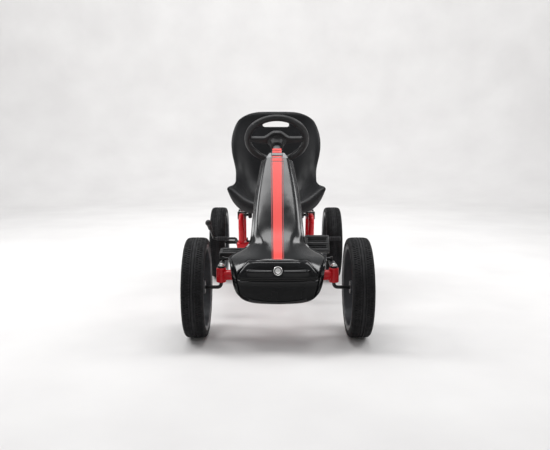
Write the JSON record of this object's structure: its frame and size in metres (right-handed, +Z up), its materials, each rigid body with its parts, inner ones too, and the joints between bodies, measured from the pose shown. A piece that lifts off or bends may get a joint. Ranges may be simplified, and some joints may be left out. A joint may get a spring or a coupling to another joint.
{
  "type": "pedal go kart",
  "caption": "Child's pedal go kart: steel tube frame, nose fairing, bucket seat, steering wheel and track rod, pedals driving the rear axle by chain, bar brake and foam tyres.",
  "frame": {"origin": "on the ground, at the centre of the kart's footprint, midway between the two axles", "axes": "+Z up, the kart faces -Y, +X is the driver's left"},
  "size_m": [0.51, 1.06, 0.658],
  "materials": {
    "red_paint": "gloss powder coat",
    "black_paint": "satin powder coat",
    "gloss_black": "high gloss",
    "seat_plastic": "finely grained",
    "moulded_black": "satin moulded",
    "tyre_foam": "matte",
    "rim_plastic": "satin graphite",
    "zinc": "bright plated",
    "chain_steel": "oiled"
  },
  "bodies": {
    "frame": {"front_beam": "red_paint", "column_bush_upper": "moulded_black", "column_bush_lower": "moulded_black", "column_strut": "red_paint", "column_bracket": "red_paint", "column_collar": "gloss_black", "fairing": "gloss_black", "fairing_stay": "black_paint", "nose_panel": "gloss_black", "centre_stripe": "red_paint", "nose_badge": "zinc", "spine_tube": "red_paint", "crank_bush_left": "moulded_black", "crank_bush_right": "moulded_black", "rear_frame": "red_paint", "seat_hoop_left": "red_paint", "seat_hoop_right": "red_paint", "axle_bearing_left": "moulded_black", "axle_bearing_right": "moulded_black", "brake_bracket_left": "red_paint", "brake_bracket_right": "red_paint", "chain": "chain_steel", "chain_guard_outer": "moulded_black", "chain_guard_inner": "moulded_black"},
    "steering": {"steering_column": "black_paint", "steering_wheel": "moulded_black", "steering_wheel_cap": "moulded_black"},
    "knuckle_left": {"knuckle_left": "black_paint", "steering_arm_left": "black_paint", "kingpin_nut_left": "zinc"},
    "knuckle_right": {"knuckle_right": "black_paint", "steering_arm_right": "black_paint", "kingpin_nut_right": "zinc"},
    "track_rod": {"track_rod": "black_paint"},
    "wheel_front_left": {"tyre_front_left": "tyre_foam", "rim_front_left": "rim_plastic", "hub_cap_front_left": "moulded_black"},
    "wheel_front_right": {"tyre_front_right": "tyre_foam", "rim_front_right": "rim_plastic", "hub_cap_front_right": "moulded_black"},
    "rear_axle": {"rear_axle": "black_paint", "axle_sprocket": "chain_steel", "tyre_rear_left": "tyre_foam", "rim_rear_left": "rim_plastic", "hub_cap_rear_left": "moulded_black"},
    "wheel_rear_right": {"tyre_rear_right": "tyre_foam", "rim_rear_right": "rim_plastic", "hub_cap_rear_right": "moulded_black"},
    "crank": {"crankshaft": "black_paint", "chainring": "chain_steel"},
    "pedal_left": {"pedal_left": "moulded_black"},
    "pedal_right": {"pedal_right": "moulded_black"},
    "brake": {"brake_bar": "black_paint", "brake_grip": "moulded_black", "brake_pad_left": "tyre_foam", "brake_pad_right": "tyre_foam"},
    "seat": {"seat": "seat_plastic", "seat_carrier": "black_paint", "seat_knob_left": "moulded_black", "seat_knob_right": "moulded_black"}
  },
  "joints": [
    {"name": "steering_turn", "type": "hinge", "parent": "frame", "child": "steering", "pos_m": [0, -0.065, 0.551], "axis": [0, 0.7193, 0.6947], "range_deg": [-25, 25]},
    {"name": "knuckle_left_turn", "type": "hinge", "parent": "frame", "child": "knuckle_left", "pos_m": [0.158, -0.39, 0.18], "axis": [0, 0, 1], "range_deg": [-25, 25]},
    {"name": "knuckle_right_turn", "type": "hinge", "parent": "frame", "child": "knuckle_right", "pos_m": [-0.158, -0.39, 0.18], "axis": [0, 0, 1], "range_deg": [-25, 25]},
    {"name": "track_rod_turn", "type": "hinge", "parent": "knuckle_left", "child": "track_rod", "pos_m": [0.158, -0.315, 0.2], "axis": [0, 0, 1], "range_deg": [-25, 25]},
    {"name": "wheel_front_left_spin", "type": "hinge", "parent": "knuckle_left", "child": "wheel_front_left", "pos_m": [0.225, -0.39, 0.14], "axis": [1, 0, 0], "continuous": true},
    {"name": "wheel_front_right_spin", "type": "hinge", "parent": "knuckle_right", "child": "wheel_front_right", "pos_m": [-0.225, -0.39, 0.14], "axis": [1, 0, 0], "continuous": true},
    {"name": "rear_axle_spin", "type": "hinge", "parent": "frame", "child": "rear_axle", "pos_m": [0, 0.39, 0.14], "axis": [1, 0, 0], "continuous": true},
    {"name": "wheel_rear_right_spin", "type": "hinge", "parent": "rear_axle", "child": "wheel_rear_right", "pos_m": [-0.225, 0.39, 0.14], "axis": [1, 0, 0], "continuous": true},
    {"name": "crank_spin", "type": "hinge", "parent": "frame", "child": "crank", "pos_m": [0, -0.105, 0.2], "axis": [1, 0, 0], "continuous": true},
    {"name": "pedal_left_spin", "type": "hinge", "parent": "crank", "child": "pedal_left", "pos_m": [0.1365, -0.02, 0.2], "axis": [1, 0, 0], "continuous": true},
    {"name": "pedal_right_spin", "type": "hinge", "parent": "crank", "child": "pedal_right", "pos_m": [-0.1365, -0.19, 0.2], "axis": [1, 0, 0], "continuous": true},
    {"name": "brake_swing", "type": "hinge", "parent": "frame", "child": "brake", "pos_m": [0, 0.21, 0.14], "axis": [-1, 0, 0], "range_deg": [0, 5]},
    {"name": "seat_slide", "type": "slide", "parent": "frame", "child": "seat", "axis": [0, 1, 0], "range_m": [-0.02, 0.05]}
  ],
  "couplings": [
    {"joint": "knuckle_left_turn", "follows": "steering_turn", "ratio": 1},
    {"joint": "knuckle_right_turn", "follows": "steering_turn", "ratio": 1},
    {"joint": "track_rod_turn", "follows": "steering_turn", "ratio": -1},
    {"joint": "crank_spin", "follows": "rear_axle_spin", "ratio": 0.53846}
  ]
}
